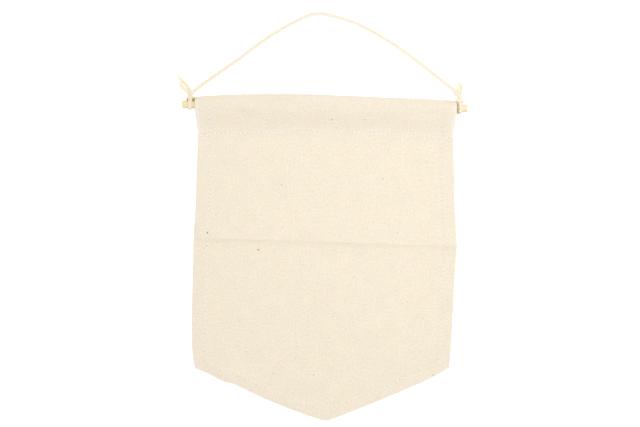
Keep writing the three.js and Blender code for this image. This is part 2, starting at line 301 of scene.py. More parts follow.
# Uneven tone of undyed cotton: broad patches, fine fibre, and a height for the fibre
def cottonToneGroup():
    tree, sheet, given, made = newGroup(
        "cottonTone", ["Patch Size", "Fibre Size", "Patch Depth", "Fibre Depth"], ["Tone", "Height"])
    patch = sheet.noise(given["Vector"], sheet.math("DIVIDE", 1.0, given["Patch Size"]), 3.0)
    fibre = sheet.noise(given["Vector"], sheet.math("DIVIDE", 1.0, given["Fibre Size"]), 2.0, 0.6)
    broad, fine = sheet.swing(patch, given["Patch Depth"]), sheet.swing(fibre, given["Fibre Depth"])
    sheet.fill(made, {"Tone": sheet.math("ADD", sheet.math("ADD", broad, fine), 1.0), "Height": fibre})
    return tree


# Plain weave: one yarn over, one under, with yarns that wander and swell a little
def plainWeaveGroup():
    tree, sheet, given, made = newGroup("plainWeave", ["Pitch", "Wander"], ["Height", "Slub"])
    wanders = [sheet.noise(sheet.stretched(given["Vector"], (0.9, 0.07, 1.0)), 1.0),
               sheet.noise(sheet.stretched(given["Vector"], (0.07, 0.9, 1.0), (7.0, 3.0, 0.0)), 1.0)]
    parts = sheet.add("ShaderNodeSeparateXYZ", {0: given["Vector"]}).outputs
    turns = []
    for axis, wander in enumerate(wanders):
        moved = sheet.math("ADD", parts[axis], sheet.swing(wander, given["Wander"]))
        turns.append(sheet.math("MULTIPLY", sheet.math("DIVIDE", moved, given["Pitch"]), math.pi))
    ridges = [sheet.math("ABSOLUTE", sheet.math("SINE", turn)) for turn in turns]
    crossing = sheet.math("MULTIPLY", sheet.math("COSINE", turns[0]), sheet.math("COSINE", turns[1]))
    over = sheet.ramp(crossing, -0.35, 0.35)
    under = sheet.math("SUBTRACT", 1.0, over)
    raised = [sheet.math("MULTIPLY", ridge, sheet.math("MULTIPLY_ADD", share, 0.65, 0.35))
              for ridge, share in zip(ridges, (over, under))]
    halves = [sheet.math("MULTIPLY", wander, 0.5) for wander in wanders]
    sheet.fill(made, {"Height": sheet.math("MAXIMUM", *raised), "Slub": sheet.math("ADD", *halves)})
    return tree


cottonTone = cottonToneGroup()
plainWeave = plainWeaveGroup()


# Patches and fibre are each a size and a depth
def cottonNode(sheet, place, patch, fibre):
    return sheet.group(cottonTone, {"Vector": place, "Patch Size": patch[0], "Patch Depth": patch[1],
                                    "Fibre Size": fibre[0], "Fibre Depth": fibre[1]})


# rimLight brightens the edges and the fold as painted light; the fluff tint at the very edges is pale
# fibre and painted light
canvasLook = {"colour": (0.885, 0.785, 0.600, 1.0), "grey": (0.830, 0.762, 0.640, 1.0),
              "hem": (0.849, 0.763, 0.622, 1.0), "pocket": (0.837, 0.755, 0.615, 1.0),
              "fleck": (0.40, 0.31, 0.20, 1.0), "pitch": 0.66, "wander": 0.9, "rimLight": 1.07,
              "fluffAndPaintedLight": (0.975, 1.0, 1.10)}


# What more layers do to the colour: less light comes back up through the cloth
def layerTint(look, place):
    single = [(a + b) / 2 for a, b in zip(look["colour"], look["grey"])]
    return tuple(layered / one for layered, one in zip(look[place][:3], single))


# Yellower and greyer yarns, doubled cloth in hems and pocket, painted light along the edges and the fold,
# and pale fibre with painted light right at the edges
def canvasColour(sheet, look, place):
    aged = sheet.stretched(place, (0.8, 1.1, 1.0), (61.0, 17.0, 0.0))
    ageing = cottonNode(sheet, aged, (16.0, 0.9), (1.35, 3.5))["Tone"]
    colour = sheet.mixColour(sheet.ramp(ageing, 0.2, 1.8), look["colour"], look["grey"])
    for label, doubled in (("hemLayers", "hem"), ("pocketLayers", "pocket")):
        tinted = sheet.times(colour, layerTint(look, doubled))
        colour = sheet.mixColour(sheet.attribute(label), colour, tinted)
    colour = sheet.times(colour, sheet.ramp(sheet.attribute("rim"), 0.0, 1.0, 1.0, look["rimLight"]))
    return sheet.mixColour(sheet.attribute("fluffAndPaintedLight"), colour, sheet.times(colour, look["fluffAndPaintedLight"]))


# Specks of husk, at most one to a cell and of very different sizes
def canvasSpecks(sheet, place):
    cells = sheet.add("ShaderNodeTexVoronoi", {"Vector": place, "Scale": 0.2},
                      voronoi_dimensions="2D").outputs
    chance = sheet.add("ShaderNodeSeparateColor", {0: cells["Color"]}).outputs
    size = sheet.ramp(chance[0], 0.4, 1.0, 0.0, 0.08)
    ragged = sheet.math("MULTIPLY_ADD", sheet.noise(place, 3.2), 0.14, -0.07)
    near = sheet.math("LESS_THAN", sheet.math("ADD", cells["Distance"], ragged), size)
    return sheet.math("MULTIPLY", near, sheet.ramp(chance[1], 0.0, 1.0, 0.1, 0.36))


def canvasMaterial(look):
    material, sheet, shader = newMaterial("unbleachedCanvas")
    cut = sheet.add("ShaderNodeUVMap", uv_map="cutMap").outputs[0]
    place = sheet.stretched(cut, (1000.0, 1000.0, 1.0))  # in millimetres
    weave = sheet.group(plainWeave, {"Vector": place, "Pitch": look["pitch"], "Wander": look["wander"]})
    cotton = cottonNode(sheet, sheet.stretched(place, (1.04, 0.86, 1.0)), (12.0, 0.07), (1.5, 0.26))
    shade = sheet.ramp(weave["Height"], 0.1, 0.85, 0.95, 1.02)
    slub = sheet.ramp(weave["Slub"], 0.3, 0.7, 0.985, 1.015)
    tone = sheet.math("MULTIPLY", sheet.math("MULTIPLY", shade, slub), cotton["Tone"])
    blushPlace = sheet.stretched(place, (0.85, 1.1, 1.0), (23.0, 71.0, 0.0))
    blush = cottonNode(sheet, blushPlace, (12.0, 0.04), (1.3, 0.18))["Tone"]
    counter = sheet.math("MULTIPLY_ADD", blush, -0.5, 1.5)
    hue = sheet.add("ShaderNodeCombineXYZ", {0: counter, 1: blush, 2: counter}).outputs[0]
    woven = sheet.times(sheet.times(canvasColour(sheet, look, place), tone), hue)
    relief = sheet.math("ADD", weave["Height"], sheet.math("MULTIPLY", cotton["Height"], 0.6))
    sheet.fill(shader, {"Base Color": sheet.mixColour(canvasSpecks(sheet, place), woven, look["fleck"]),
                        "Normal": sheet.bump(relief, 0.3), "Roughness": 0.92, "Specular IOR Level": 0.2,
                        "Sheen Weight": 0.05, "Sheen Roughness": 0.6})
    return material


# Cotton yarns: colour, fineness of the marks along a strand, their depth, sheen
yarnLooks = {
    "cottonCord": ((0.91, 0.83, 0.68), 0.45, 0.1, 0.1),
    "cottonTail": ((0.99, 0.92, 0.725), 0.3, 0.04, 0.2),
    # The left knot's cord, a little darker than the arch's
    "darkerKnotCord": ((0.875, 0.785, 0.615), 0.45, 0.1, 0.1),
    # The next two are painted shade: the darker brown of the cord that lies in the knots' shade
    "palePaintedShadeCord": ((0.76, 0.60, 0.36), 0.45, 0.14, 0.1),
    "shadedCord": ((0.66, 0.50, 0.265), 0.45, 0.14, 0.1),
    "sewingThread": ((0.97, 0.95, 0.90), 1.2, 0.05, 0.1),
}


# Fine yarns run aslant along each strand
def yarnMaterial(name, colour, along, depth, sheen):
    material, sheet, shader = newMaterial(name)
    turned = sheet.add("ShaderNodeUVMap", uv_map="alongMap").outputs[0]
    place = sheet.stretched(turned, (6.0, 1000.0, 1.0))
    slanted = sheet.add("ShaderNodeVectorRotate", {"Vector": place, "Angle": 0.35},
                        rotation_type="Z_AXIS").outputs[0]
    fineYarns = sheet.noise(sheet.stretched(slanted, (1.6, along, 1.0)), 1.0, 3.0, 0.6)
    cotton = cottonNode(sheet, place, (9.0, 0.08), (0.6, 0.12))
    marks = sheet.ramp(fineYarns, 0.3, 0.68, 1.0 - depth, 1.0 + depth * 0.4)
    tone = sheet.math("MULTIPLY", marks, cotton["Tone"])
    sheet.fill(shader, {"Base Color": sheet.times(colour, tone), "Normal": sheet.bump(fineYarns, 0.5),
                        "Roughness": 0.9, "Specular IOR Level": 0.2, "Sheen Weight": sheen})
    return material


woodLook = {"pale": (0.90, 0.77, 0.49, 1.0), "grain": (0.80, 0.62, 0.34, 1.0),
            "end": (0.78, 0.63, 0.38, 1.0), "paintedEdgeShade": (0.72, 0.55, 0.27, 1.0)}


# Bare wood, with painted shade along both long sides, most on the side towards the cloth
def dowelMaterial(look, rod):
    half, middle, edge = rod["length"] / 2, rod["y"], rod["radius"]
    material, sheet, shader = newMaterial("paleDowelWood")
    place = sheet.add("ShaderNodeTexCoord").outputs["Object"]
    grain = sheet.noise(sheet.stretched(place, (28.0, 900.0, 900.0)), 1.0, 4.0, 0.55)
    pores = sheet.noise(sheet.stretched(place, (140.0, 4200.0, 4200.0), (3.0, 1.0, 2.0)), 1.0)
    streak = sheet.mixColour(sheet.ramp(grain, 0.45, 0.78, 0.0, 0.75), look["pale"], look["grain"])
    fine = sheet.mixColour(sheet.ramp(pores, 0.62, 0.8, 0.0, 0.35), streak, look["grain"])
    parts = sheet.add("ShaderNodeSeparateXYZ", {0: place}).outputs
    ends = sheet.ramp(sheet.math("ABSOLUTE", parts[0]), (half - 0.35) * mm, (half + 0.02) * mm, 0.0, 0.85)
    capped = sheet.mixColour(ends, fine, look["end"])
    # painted shade: the rod's sides darker where the round turns away from the light
    near = sheet.ramp(parts[1], (middle - edge) * mm, (middle - 0.35 * edge) * mm, 0.75, 0.0)
    far = sheet.ramp(parts[1], (middle + 0.45 * edge) * mm, (middle + edge) * mm, 0.0, 0.4)
    edgeShaded = sheet.mixColour(sheet.math("ADD", near, far), capped, look["paintedEdgeShade"])
    sheet.fill(shader, {"Base Color": edgeShaded, "Roughness": sheet.ramp(grain, 0.3, 0.8, 0.5, 0.68),
                        "Normal": sheet.bump(grain, 0.25), "Specular IOR Level": 0.35})
    return material


canvas = canvasMaterial(canvasLook)
yarns = {name: yarnMaterial(name, *look) for name, look in yarnLooks.items()}
print("materials made")

# Cord: the arch between the knots, x y z in millimetres, carried on into both knots.
# A point without a height lies on the surface
cordRest = twistedCord["radius"] + 0.05
cordRoute = [
    (-107.2, 127.4, 5.2), (-106.2, 129.6, 5.0), (-104.4, 131.3, 4.3), (-101.2, 134.1, 3.2),
    (-96.4, 137.9, 2.0), (-87.0, 144.7), (-77.4, 151.6), (-67.9, 158.5), (-58.4, 165.9), (-49.0, 173.0),
    (-39.4, 179.4), (-29.9, 185.2), (-20.4, 190.3), (-13.2, 193.4), (-6.1, 194.8), (1.2, 194.2),
    (13.2, 191.1), (22.8, 187.9), (32.5, 183.6), (42.2, 178.5), (51.9, 172.7), (61.6, 166.3),
    (71.3, 159.4), (81.0, 152.2), (90.7, 144.7, 1.5), (98.0, 139.0, 2.6), (102.4, 135.6, 3.6),
    (105.2, 132.4, 4.3), (107.4, 129.4, 5.0), (108.2, 126.0, 5.2),
]
# The lay opens up beside the right knot: distance from that end, thickness share
cordSwell = [(0.0, 1.05), (3.5, 1.2), (6.5, 1.42), (9.5, 1.36), (12.5, 1.1), (15.0, 1.0), (60.0, 1.0),
             (110.0, 0.98), (160.0, 0.98), (200.0, 1.05), (262.0, 1.07)]


def buildCord():
    bundle = TubeBundle()
    route = [(*point, cordRest)[:3] for point in cordRoute]
    path = bundle.addTwist(route, twistedCord, swell=cordSwell)
    cord = bundle.piece("archCord", yarns["cottonCord"], "cotton_cord")
    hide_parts("hanging_cord")
    return cord, path


archCord, cordPath = buildCord()

# Loose fibres that stand off the cord: how many, their length, how far out they start
cordFuzz = {"count": 1100, "length": (0.7, 1.8), "start": 1.2, "radius": 0.035, "lowest": 0.1, "seed": 33}


def buildFuzz(path, fuzz):
    bundle = TubeBundle()
    chance = random.Random(fuzz["seed"])
    across, over = framesAlong(path)
    along = directions(path)
    for _ in range(fuzz["count"]):
        at = chance.randrange(2, len(path) - 2)
        bend, length = chance.uniform(0, 2 * math.pi), chance.uniform(*fuzz["length"])
        out = across[at] * math.cos(bend) + over[at] * math.sin(bend)
        aim = along[at] * chance.choice((-1, 1)) + out * chance.uniform(0.2, 0.8)
        bow = out * chance.uniform(-0.3, 0.3)
        bundle.addHair(path[at] + out * fuzz["start"], aim, bow, length, fuzz["radius"], fuzz["lowest"])
    return bundle


def turnRound(x, radius, low, high, step):
    return [(x, dowelRod["y"] + radius * math.cos(math.radians(angle)),
             dowelRod["z"] + radius * math.sin(math.radians(angle))) for angle in range(low, high, step)]


# Knots: the turn round the dowel, the collar about it, the knot's body, the cord in its shade
# with that shade painted into its colour, and the unlaid plies of the free end
knotTies = {
    "leftKnot": {
        "node": "knot_left", "cotton": "darkerKnotCord", "seed": 4, "loopX": -107.9, "loopFlat": (1.17, 0.53),
        "collar": (-107.25, 125.95, 5.3), "collarAcross": 2.4, "collarScale": 0.74, "collarTurn": 0.0,
        "collarLean": 0.13, "bodyScale": 1.3,
        "body": [(-107.6, 125.6, 5.2), (-107.3, 128.2, 5.2), (-107.2, 130.4, 4.9), (-107.3, 131.8, 4.5)],
        "inner": [(-110.5, 124.5, 3.6), (-107.6, 124.5, 3.4), (-104.1, 125.0, 3.6)],
        "innerCotton": "palePaintedShadeCord", "innerScale": 0.86, "innerFlat": (1.0, 1.0), "innerTurn": 0.0,
        "plies": [
            [(-106.9, 130.8, 4.9), (-108.8, 134.4, 3.8), (-111.0, 137.3, 2.9), (-113.9, 140.0, 2.0),
             (-117.7, 144.3, 1.2)],
            [(-107.5, 130.4, 4.5), (-109.5, 134.0, 3.3), (-111.6, 136.9, 2.3), (-114.5, 139.2, 1.5),
             (-118.0, 143.1, 1.1)],
            [(-108.2, 129.4, 4.7), (-110.8, 132.4, 3.5), (-114.0, 134.8, 2.2), (-115.0, 137.2, 1.5),
             (-114.9, 140.8, 1.1)],
            [(-108.8, 128.9, 4.3), (-111.5, 131.8, 3.0), (-114.6, 134.3, 1.7), (-115.6, 136.9, 1.2),
             (-115.5, 140.2, 1.1)],
        ],
    },
    "rightKnot": {
        "node": "knot_right", "cotton": "cottonCord", "seed": 9, "loopX": 108.4, "loopFlat": (0.9, 0.53),
        "collar": (107.3, 126.55, 5.9), "collarAcross": 1.75, "collarScale": 1.08, "collarTurn": 0.5,
        "collarLean": -0.03, "bodyScale": 1.05,
        "body": [(108.2, 125.4, 5.2), (107.8, 127.6, 5.2), (107.6, 129.6, 4.9), (107.5, 131.0, 4.5)],
        "inner": [(107.4, 126.0, 5.4)] + turnRound(106.5, 3.9, 48, 312, 22) + [(107.2, 126.1, 4.2)],
        "innerCotton": "shadedCord", "innerScale": 1.0, "innerFlat": (0.56, 0.53), "innerTurn": 2.0,
        "plies": [
            [(107.0, 128.8, 5.0), (106.6, 133.6, 3.4), (106.5, 137.6, 2.0), (106.3, 141.3, 1.2)],
            [(107.4, 128.8, 5.3), (107.6, 133.8, 3.7), (107.5, 138.0, 2.2), (107.4, 142.1, 1.3)],
            [(107.9, 128.8, 5.0), (108.9, 133.6, 3.3), (109.0, 137.4, 1.9), (108.9, 141.2, 1.2)],
            [(107.5, 128.6, 4.4), (108.0, 133.4, 2.6), (108.1, 137.2, 1.4), (108.2, 141.8, 1.2)],
        ],
    },
}
# Sizes of both knots, with the yarns and the loose fibres of each ply
knotSizes = {"loopRadius": 3.9, "tuck": 0.9, "collarThrough": 1.6, "collarSlope": 0.5, "collarSteps": 20,
             "plyRadius": 0.66, "plyStep": 0.8, "yarns": 20, "yarnRadius": 0.19, "yarnLowest": 0.32,
             "hairs": 33, "hairLength": (0.8, 2.0), "hairRadius": (0.07, 0.03), "hairLowest": 0.2}
# Distance from the end, thickness share: the body tapers into the free end,
# and the loop is drawn in where it passes under the dowel
bodySwell = [(0.0, 0.45), (1.5, 0.85), (3.5, 1.0)]
loopSwell = [(0.0, 1.0), (8.0, 1.0), (11.5, 0.8), (14.5, 0.85), (17.0, 1.0), (30.0, 1.0)]


def knotTie(tie, sizes):
    bundle = TubeBundle()
    x, y, z = tie["collar"]
    loop = turnRound(tie["loopX"], sizes["loopRadius"], 55, 306, 25)
    loop = [(x, y, z + sizes["tuck"])] + loop + [(x, y, z - sizes["tuck"])]
    bundle.addTwist(loop, twistedCord, flat=tie["loopFlat"], turn=0.5, swell=loopSwell)
    bundle.addTwist(tie["body"], twistedCord, scale=tie["bodyScale"], turn=1.0, swell=bodySwell)
    ring = []
    for step in range(sizes["collarSteps"] + 2):  # a little past full circle, so that it closes
        bend = 2 * math.pi * step / sizes["collarSteps"] - math.pi / 2
        across = tie["collarAcross"] * math.cos(bend)
        ring.append((x + across, y + tie["collarLean"] * across + sizes["collarSlope"] * math.sin(bend),
                     z + sizes["collarThrough"] * math.sin(bend)))
    bundle.addTwist(ring, twistedCord, scale=tie["collarScale"], turn=tie["collarTurn"])
    return bundle


# Cord in the shade of the knot, with that shade painted into its darker brown colour: behind the left one,
# a second turn beside the right one
def innerCord(tie):
    bundle = TubeBundle()
    bundle.addTwist(tie["inner"], twistedCord, tie["innerFlat"], tie["innerScale"], tie["innerTurn"])
    return bundle


# Fine yarns round one ply, which spread, wave and thin out
def addYarns(bundle, path, even, sizes, chance):
    across, over = framesAlong(path)
    share = even / even[-1]
    for yarn in range(sizes["yarns"]):
        bend = 2 * math.pi * yarn / sizes["yarns"] * 2.0 + chance.uniform(-0.3, 0.3)
        reach = sizes["plyRadius"] * chance.uniform(0.85, 1.15)
        spread = reach * (0.9 + 0.35 * np.sin(math.pi * share) + chance.uniform(-0.55, 0.4) * share ** 2)
        twist = bend + 1.4 * share * chance.uniform(0.6, 1.2)
        wave = 0.11 * np.sin(share * chance.uniform(6, 14) + bend)
        line = (path + across * ((spread + wave) * np.cos(twist))[:, None]
                + over * (spread * np.sin(twist))[:, None])
        last = max(6, int(len(line) * chance.uniform(0.6, 0.98)))
        line = line[:last]
        line[:, 2] = np.maximum(line[:, 2], sizes["yarnLowest"])
        thin = np.interp(share[:last] / share[last - 1], [0.0, 0.6, 1.0], [1.0, 0.9, 0.2])
        bundle.addTube(line, even[:last], sizes["yarnRadius"] * thin, 5)


# Loose fibres of one ply, most of them towards its tip
def addPlyHairs(bundle, path, sizes, chance):
    def scatter(*widths):
        return np.array([chance.gauss(0, width) for width in widths])

    for _ in range(sizes["hairs"]):
        at = int(chance.triangular(0.3, 1.0, 0.8) * (len(path) - 1))
        aim = path[at] - path[max(at - 3, 0)]
        aim = aim / max(np.linalg.norm(aim), 1e-6)
        aim = aim + scatter(0.45, 0.45, 0.3)
        length = chance.uniform(*sizes["hairLength"])
        root = path[at] + scatter(0.35, 0.35, 0.2)
        bow = np.append(scatter(0.4, 0.4), 0.0)
        bundle.addHair(root, aim, bow, length, np.linspace(*sizes["hairRadius"], 5), sizes["hairLowest"])


# Unlaid end: each ply is a soft core with its yarns and loose fibres
def frayedEnd(tie, sizes):
    bundle = TubeBundle()
    chance = random.Random(tie["seed"])
    for route in tie["plies"]:
        path, even = smoothPath(route, sizes["plyStep"])
        core = np.interp(even / even[-1], [0.0, 0.5, 0.8, 1.0], [1.2, 1.3, 1.05, 0.3])
        bundle.addTube(path, even, sizes["plyRadius"] * core, 8)
        addYarns(bundle, path, even, sizes, chance)
        addPlyHairs(bundle, path, sizes, chance)
    return bundle


cordPieces = [buildFuzz(cordPath, cordFuzz).piece("cordFuzz", yarns["cottonTail"], "cotton_cord")]
for tieName, tie in knotTies.items():
    knot = knotTie(tie, knotSizes).piece(tieName, yarns[tie["cotton"]], "cotton_cord")
    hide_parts(tie["node"])
    tailName, innerName = tieName.replace("Knot", "Tail"), tieName.replace("Knot", "Inner")
    tail = frayedEnd(tie, knotSizes).piece(tailName, yarns["cottonTail"], "cotton_cord")
    inner = innerCord(tie).piece(innerName, yarns[tie["innerCotton"]], "cotton_cord")
    cordPieces += [knot, tail, inner]
print("knots made")


def buildDowel(rod):
    shape = bmesh.new()
    bmesh.ops.create_cone(shape, cap_ends=True, segments=rod["sides"], radius1=rod["radius"] * mm,
                          radius2=rod["radius"] * mm, depth=rod["length"] * mm)
    rims = [edge for edge in shape.edges if abs(edge.verts[0].co.z - edge.verts[1].co.z) < 1e-6]
    bmesh.ops.bevel(shape, geom=rims, offset=rod["endRound"] * mm, affect="EDGES", segments=3,
                    profile=0.5, material=-1)
    turn = Matrix.Rotation(math.pi / 2, 4, "Y")
    bmesh.ops.transform(shape, matrix=turn, verts=shape.verts)
    bmesh.ops.translate(shape, vec=Vector((0.0, rod["y"], rod["z"])) * mm, verts=shape.verts)
    mesh = bpy.data.meshes.new("woodDowel")
    shape.to_mesh(mesh)
    shape.free()
    shadeSmooth(mesh)
    mesh.set_sharp_from_angle(angle=math.radians(40))
    dowel = addPiece("woodDowel", mesh, dowelMaterial(woodLook, rod))
    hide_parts("dowel")


buildDowel(dowelRod)
print("dowel made")

# Outline of the cloth: y, left, right
sideEdges = [
    (128.0, -104.1, 105.6), (116.0, -103.5, 105.2), (105.0, -102.0, 103.6), (95.0, -101.0, 103.1),
    (72.0, -101.6, 104.2), (40.0, -102.2, 105.4), (11.0, -103.5, 107.2), (-6.0, -103.5, 106.3),
    (-40.0, -103.9, 105.0), (-72.0, -103.4, 103.7), (-84.0, -102.1, 102.8), (-90.5, -100.4, 102.3),
]
# Pointed foot: x, y
pointEdge = [
    (-100.4, -90.5), (-90.0, -94.3), (-78.0, -100.2), (-70.0, -102.1), (-60.0, -106.8), (-41.5, -115.0),
    (-20.0, -123.2), (1.5, -130.2), (4.3, -130.5), (7.1, -130.1), (30.6, -120.8), (59.2, -108.6),
    (90.0, -94.4), (102.3, -86.8),
]
# Rod pocket: x, top fold, sewn line
pocketLines = [
    (-103.7, 126.8, 96.5), (-84.0, 128.7, 97.5), (-58.0, 129.9, 98.6), (-16.0, 130.5, 99.6),
    (14.0, 129.8, 99.7), (53.0, 128.6, 98.7), (84.0, 127.9, 97.6), (105.6, 126.6, 96.9),
]
# Packing crease: x, y, how sharply it stands
creaseLine = [
    (-103.6, 14.0, 0.8), (-88.0, 13.8, 1.2), (-66.0, 13.4, 1.15), (-26.0, 12.8, 1.05), (14.0, 12.0, 1.05),
    (46.0, 11.3, 1.05), (78.0, 10.9, 0.9), (107.2, 10.5, 1.0),
]
# Sewn rows: side hems as y, left, right, and the pointed hem as x, y
sideRows = [
    (122.0, -92.8, 94.3), (114.6, -92.6, 94.0), (92.2, -91.7, 93.3), (45.0, -91.9, 94.5),
    (15.0, -92.6, 95.8), (-4.0, -93.0, 95.9), (-25.0, -93.3, 95.5), (-52.0, -93.5, 95.2),
    (-69.0, -93.7, 94.9), (-88.0, -93.7, 94.1),
]
pointRows = [
    (-95.0, -85.3), (-87.5, -88.0), (-56.2, -100.4), (-24.0, -113.1), (2.2, -121.9), (10.1, -120.3),
    (51.9, -102.9), (91.6, -81.5), (96.0, -78.9),
]
# Places where the cloth stands off the surface: x, y, height, reach across, reach along
ripples = [
    (-74.0, -96.0, 2.2, 20.0, 24.0), (104.0, 8.0, 1.1, 26.0, 30.0), (-101.0, 70.0, 1.0, 18.0, 34.0),
    (101.0, 78.0, 0.9, 16.0, 30.0), (12.0, -78.0, 0.7, 46.0, 16.0),
]
# Soft creases: x, y, direction in degrees, half length, width, height
softCreases = [
    (2.0, -74.5, -8.0, 42.0, 3.2, 0.35), (24.0, -80.0, -5.0, 26.0, 2.6, -0.2),
    (-58.0, 112.0, -22.0, 24.0, 4.0, -0.5), (-84.0, 104.0, 4.0, 20.0, 4.5, -0.35),
    (-88.0, 86.0, 70.0, 22.0, 5.0, -0.25), (46.0, 108.0, 14.0, 18.0, 4.0, -0.25),
    (70.0, 104.0, -24.0, 16.0, 3.6, -0.3), (-20.0, 106.0, 8.0, 22.0, 4.2, -0.25),
    (60.0, 60.0, 40.0, 30.0, 9.0, 0.2), (-40.0, 52.0, -30.0, 34.0, 10.0, 0.2),
    (-66.0, -60.0, 50.0, 30.0, 8.0, 0.25), (50.0, -44.0, -52.0, 30.0, 9.0, 0.2),
]
# Thicknesses, hems and pocket. Width spaces the columns, and cornerY, seamY and hemLevel say
# where along y the foot, the seam and the pocket's hems are read
bannerCloth = {"plain": 0.8, "hemExtra": 0.7, "flapExtra": 0.8, "loopHemExtra": 0.5, "sideHem": 10.4,
               "pointHem": 8.6, "edgeRound": 0.8, "dip": 0.3, "dipWidth": 0.9, "width": 207.0,
               "cornerY": -90.5, "seamY": 96.5, "hemLevel": 40.0, "foldRadius": 0.9, "pocketGap": 0.9,
               "hemRise": 0.45, "loopSteps": 45, "frontSteps": 40, "backSteps": 16}
# Above the crease the cloth falls gently, and below it first in a sharp lip, then in a slope
packingCrease = {"height": 2.1, "reach": 34.0, "lip": 3.8, "lipShare": 0.42, "slope": 13.0,
                 "slopeShare": 0.58, "ridge": 0.2, "ridgeUp": 0.7, "ridgeWidth": 0.75}
# Broad, shallow waves all over the cloth
clothWaves = {"count": 9, "length": (18, 60), "slope": 0.0016, "seed": 12}
# Columns and rows stand closer at the edges, the crease and the seam. Between them they are even,
# with the columns at a spacing from sideEnd in, and lower and upper rows below and above the crease
clothSteps = {
    "side": [0, 0.1, 0.35, 0.8, 1.7, 3.2, 5.0, 6.8, 8.2, 9.2, 9.9, 10.5, 11.1, 11.8, 12.8],
    "foot": [0, 0.1, 0.35, 0.8, 1.7, 3.2, 5.0, 6.6, 7.6, 8.3, 8.9, 9.5, 10.3, 11.5],
    "crease": [-14, -11.5, -9.2, -7.2, -5.6, -4.2, -3, -2, -1.2, -0.6,
               0, 0.5, 1, 1.6, 2.4, 3.6, 5.4, 8, 11, 14.5],
    "seam": [-5, -4.2, -3.6, -3, -2.4, -1.8, -1.2, -0.8, -0.4],
    "sideEnd": 14.4, "spacing": 1.7, "lower": 66, "upper": 42,
}
farAway = 99.0  # out of every hem's and seam's reach

leftEdge, rightEdge = through(sideEdges, 0, 1), through(sideEdges, 0, 2)
lowerEdge = through(pointEdge, 0, 1)
foldLine, seamLine = through(pocketLines, 0, 1), through(pocketLines, 0, 2)
creaseY, creaseShare = through(creaseLine, 0, 1), through(creaseLine, 0, 2)
leftRow, rightRow = through(sideRows, 0, 1), through(sideRows, 0, 2)
pointRow = through(pointRows, 0, 1)


def softLines(x, y):
    total = np.zeros_like(x)
    for cx, cy, direction, half, width, height in softCreases:
        bend = math.radians(direction)
        along = (x - cx) * math.cos(bend) + (y - cy) * math.sin(bend)
        across = (y - cy) * math.cos(bend) - (x - cx) * math.sin(bend)
        window = np.clip(1 - (along / half) ** 2, 0, 1) ** 2
        total += height * window * np.exp(-(across / width) ** 2)
    return total


def unevenness(x, y, waves):
    chance = random.Random(waves["seed"])
    total = np.zeros_like(x)
    for _ in range(waves["count"]):
        bend, length = chance.uniform(0, math.pi), chance.uniform(*waves["length"])
        turn = 2 * math.pi * (x * math.cos(bend) + y * math.sin(bend)) / length
        total += waves["slope"] * length * np.sin(turn + chance.uniform(0, 6.28))
    return total


# Height of the cloth's underside above the surface it lies on
def lift(x, y, crease):
    up = y - creaseY(x)
    above = 1 - smooth(0.0, crease["reach"], up)
    down = np.maximum(-up, 0)
    below = (crease["lipShare"] * np.clip(1 - down / crease["lip"], 0, 1) ** 1.7
             + crease["slopeShare"] * np.clip(1 - down / crease["slope"], 0, 1) ** 2.2)
    rise = crease["height"] * creaseShare(x) * np.where(up > 0, above, below)
    ridge = np.exp(-((up - crease["ridgeUp"]) / crease["ridgeWidth"]) ** 2)
    rise += crease["ridge"] * creaseShare(x) * ridge
    for rx, ry, height, across, along in ripples:
        far = np.clip(((x - rx) / across) ** 2 + ((y - ry) / along) ** 2, 0, 1)
        rise += height * (1 - far) ** 2
    return rise


# How far a stitched row draws the cloth down
def stitchDip(x, y, fromSeam):
    width = bannerCloth["dipWidth"]
    near = np.exp(-((x - leftRow(y)) / width) ** 2) + np.exp(-((x - rightRow(y)) / width) ** 2)
    inside = (x > leftRow(y) - 1) & (x < rightRow(y) + 1)
    near += np.where(inside, np.exp(-((y - pointRow(x)) / width) ** 2), 0)
    near += np.exp(-(fromSeam / width) ** 2)
    return bannerCloth["dip"] * np.clip(near, 0, 1)


# One in the doubled cloth of the hems, nothing further in
def hemShare(x, y, upFromEdge):
    side = np.minimum(x - leftEdge(y), rightEdge(y) - x)
    sideIn = smooth(bannerCloth["sideHem"] - 0.2, bannerCloth["sideHem"] + 1.4, side)
    footIn = smooth(bannerCloth["pointHem"], bannerCloth["pointHem"] + 1.6, upFromEdge)
    return 1 - np.minimum(sideIn, footIn)


# Share of the thickness that is left at a distance from a rounded edge
def edgeFullness(distance):
    t = np.clip(distance / bannerCloth["edgeRound"], 0, 1)
    return 0.25 + 0.75 * np.sqrt(1 - (1 - t) ** 2)


# Even steps of a smooth line through whole rows of points
def throughKnots(knots, count):
    line = []
    last = len(knots) - 1
    for step in np.linspace(0, last, count):
        i = min(int(step), last - 1)
        line.append(curved(*(knots[max(0, min(last, i + k))] for k in (-1, 0, 1, 2)), step - i))
    return line


